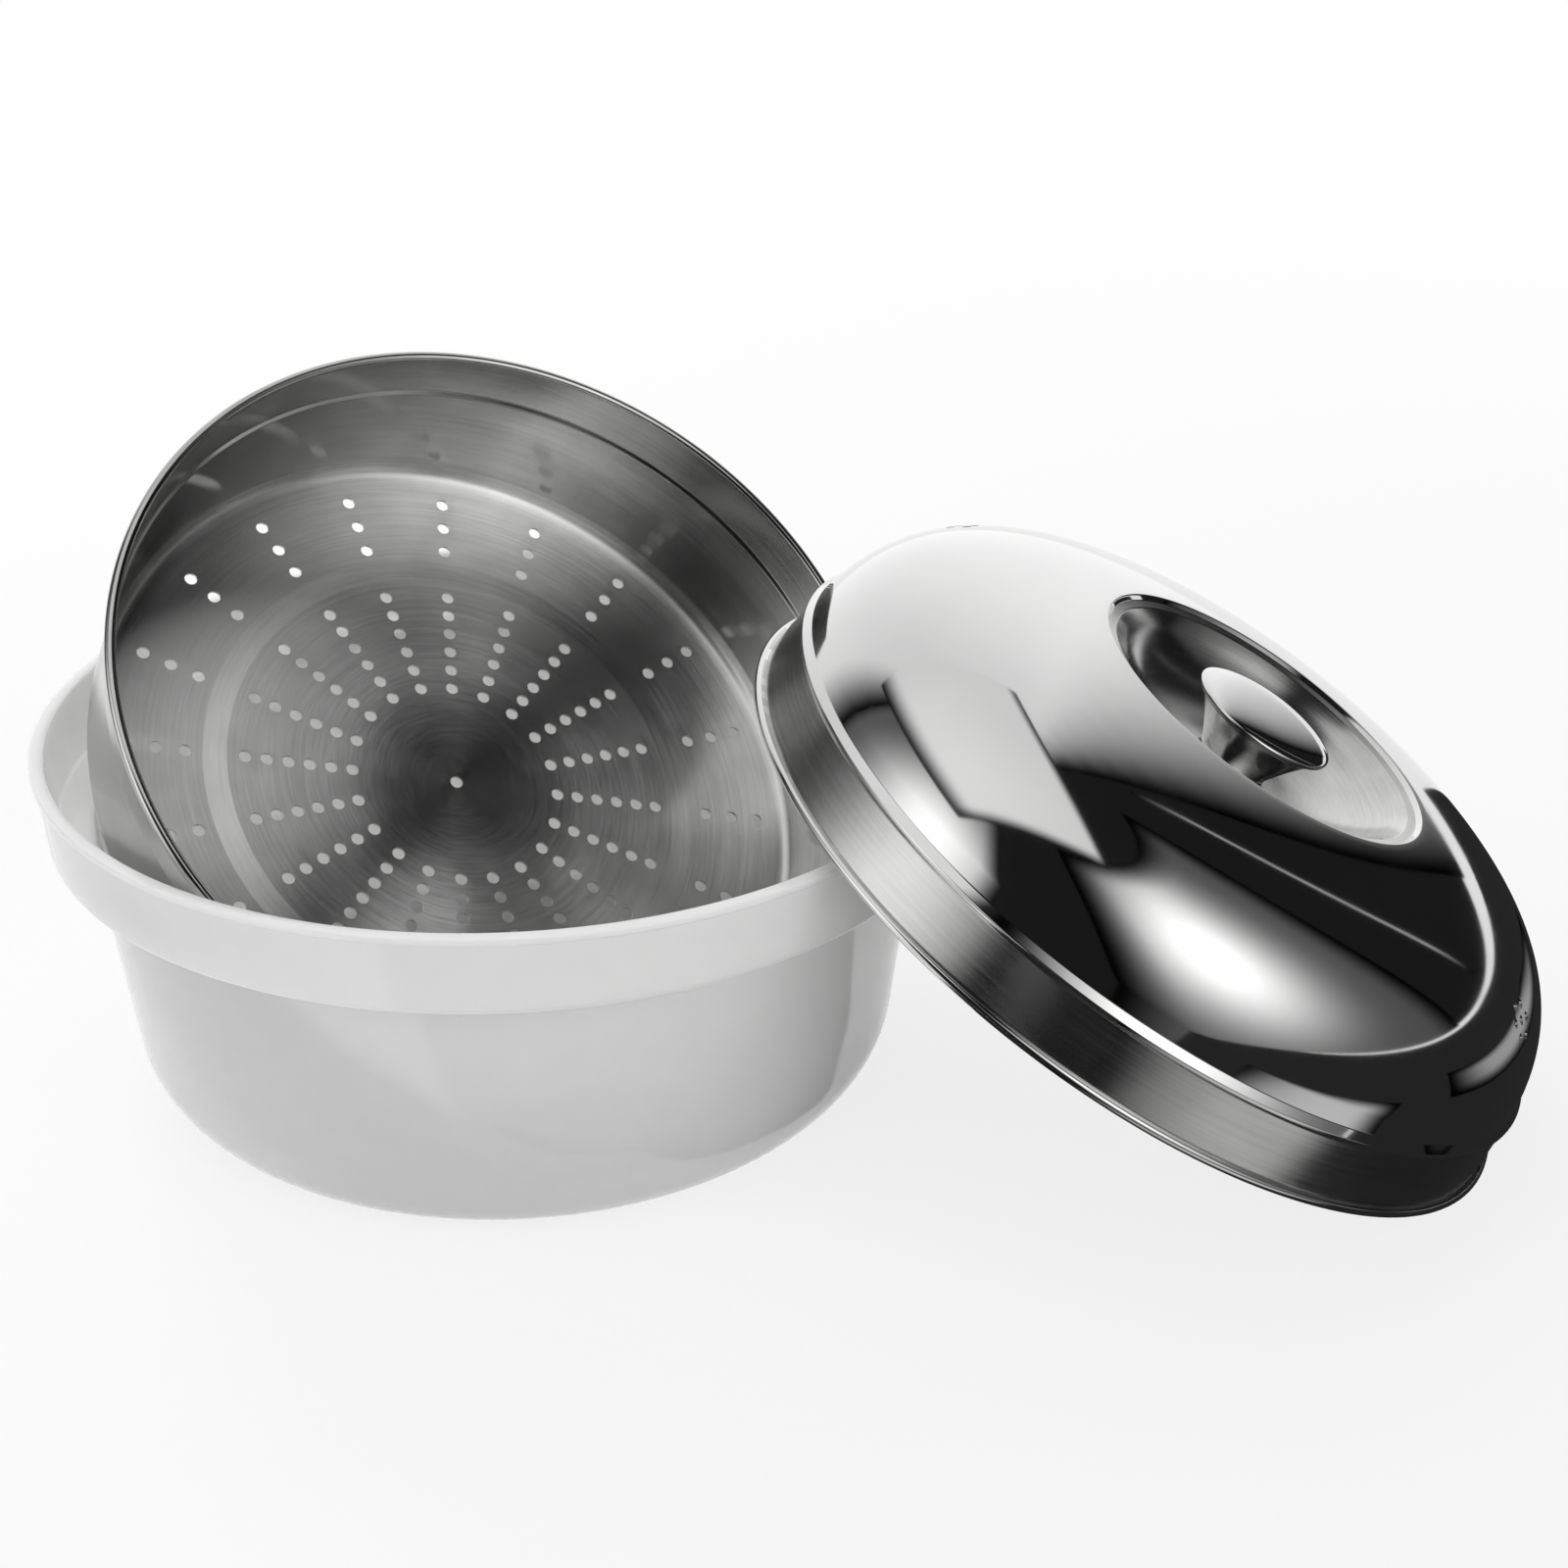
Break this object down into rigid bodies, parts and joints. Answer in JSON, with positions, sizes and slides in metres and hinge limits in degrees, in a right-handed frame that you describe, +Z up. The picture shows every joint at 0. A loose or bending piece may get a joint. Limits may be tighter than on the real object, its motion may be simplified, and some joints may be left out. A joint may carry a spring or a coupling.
{
  "type": "microwave steamer",
  "caption": "Round microwave steamer: a white stepped bowl, a perforated steel tray tilted inside it, and a domed steel lid with a sunken knob leaning over the rim.",
  "frame": {"origin": "centre of the bowl's base, on the table", "axes": "+Z up, +X towards the side where the lid leans"},
  "size_m": [0.4002, 0.2677, 0.1815],
  "materials": {
    "white_polypropylene": "moulded, glossy",
    "brushed_stainless": "pressed sheet, turned brush marks",
    "polished_stainless": "pressed sheet, mirror polished",
    "plated_steel": "zinc plated"
  },
  "bodies": {
    "bowl": {"bowl": "white_polypropylene"},
    "tray": {"steamer_tray": "brushed_stainless"},
    "lid": {"lid_shell": "polished_stainless", "knob_cap": "polished_stainless", "knob_stem": "polished_stainless", "knob_screw": "plated_steel", "knob_washer": "plated_steel"}
  },
  "joints": [
    {"name": "tray_lift", "type": "slide", "parent": "bowl", "child": "tray", "axis": [-0.3812, 0.3681, 0.848], "range_m": [0, 0.16]},
    {"name": "lid_lift", "type": "slide", "parent": "bowl", "child": "lid", "axis": [0.5253, -0.0423, 0.8499], "range_m": [0, 0.15]}
  ]
}
